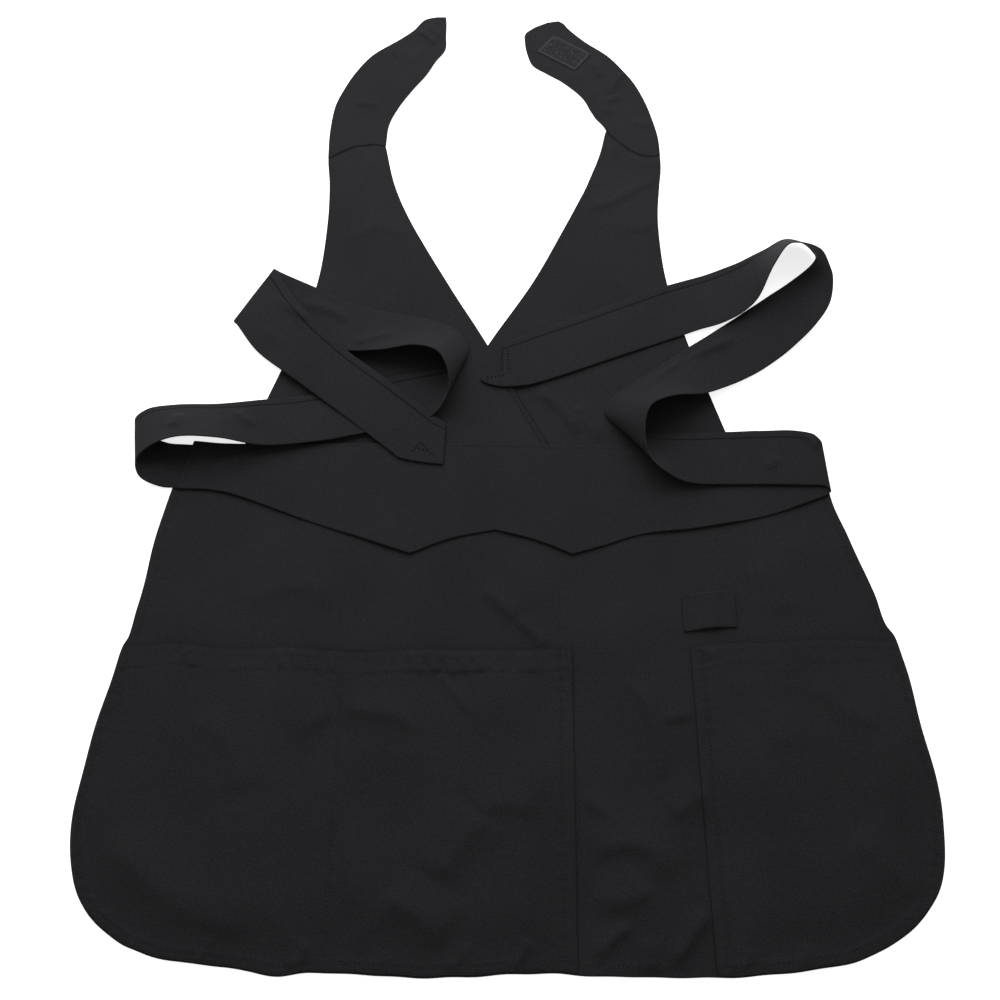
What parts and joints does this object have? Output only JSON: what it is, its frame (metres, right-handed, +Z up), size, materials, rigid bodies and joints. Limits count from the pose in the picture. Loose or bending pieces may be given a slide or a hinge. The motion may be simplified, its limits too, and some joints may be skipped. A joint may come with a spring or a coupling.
{
  "type": "barber apron",
  "caption": "Black cloth barber apron lying front up: crossed bib with open neck straps, scalloped waist yoke, folded waist ties, rounded skirt with wide pockets and a tool loop.",
  "frame": {"origin": "on the table under the middle of the apron's plan, with the table top at z 0", "axes": "+Z up out of the apron's front, +Y from the hem to the neck, +X to the right as seen from above"},
  "size_m": [0.6632, 0.9982, 0.0454],
  "materials": {
    "cloth": "matte twill weave",
    "hook_and_loop": "matte fuzzy pile"
  },
  "bodies": {
    "root": {"skirt": "cloth", "bib_left": "cloth", "bib_right": "cloth", "waist_yoke": "cloth", "pocket_double": "cloth", "pocket_single": "cloth", "tool_loop": "cloth", "neck_strap_left": "cloth", "neck_strap_right": "cloth", "loop_patch": "hook_and_loop", "hook_patch": "hook_and_loop", "waist_tie_left": "cloth", "waist_tie_right": "cloth"}
  },
  "joints": []
}
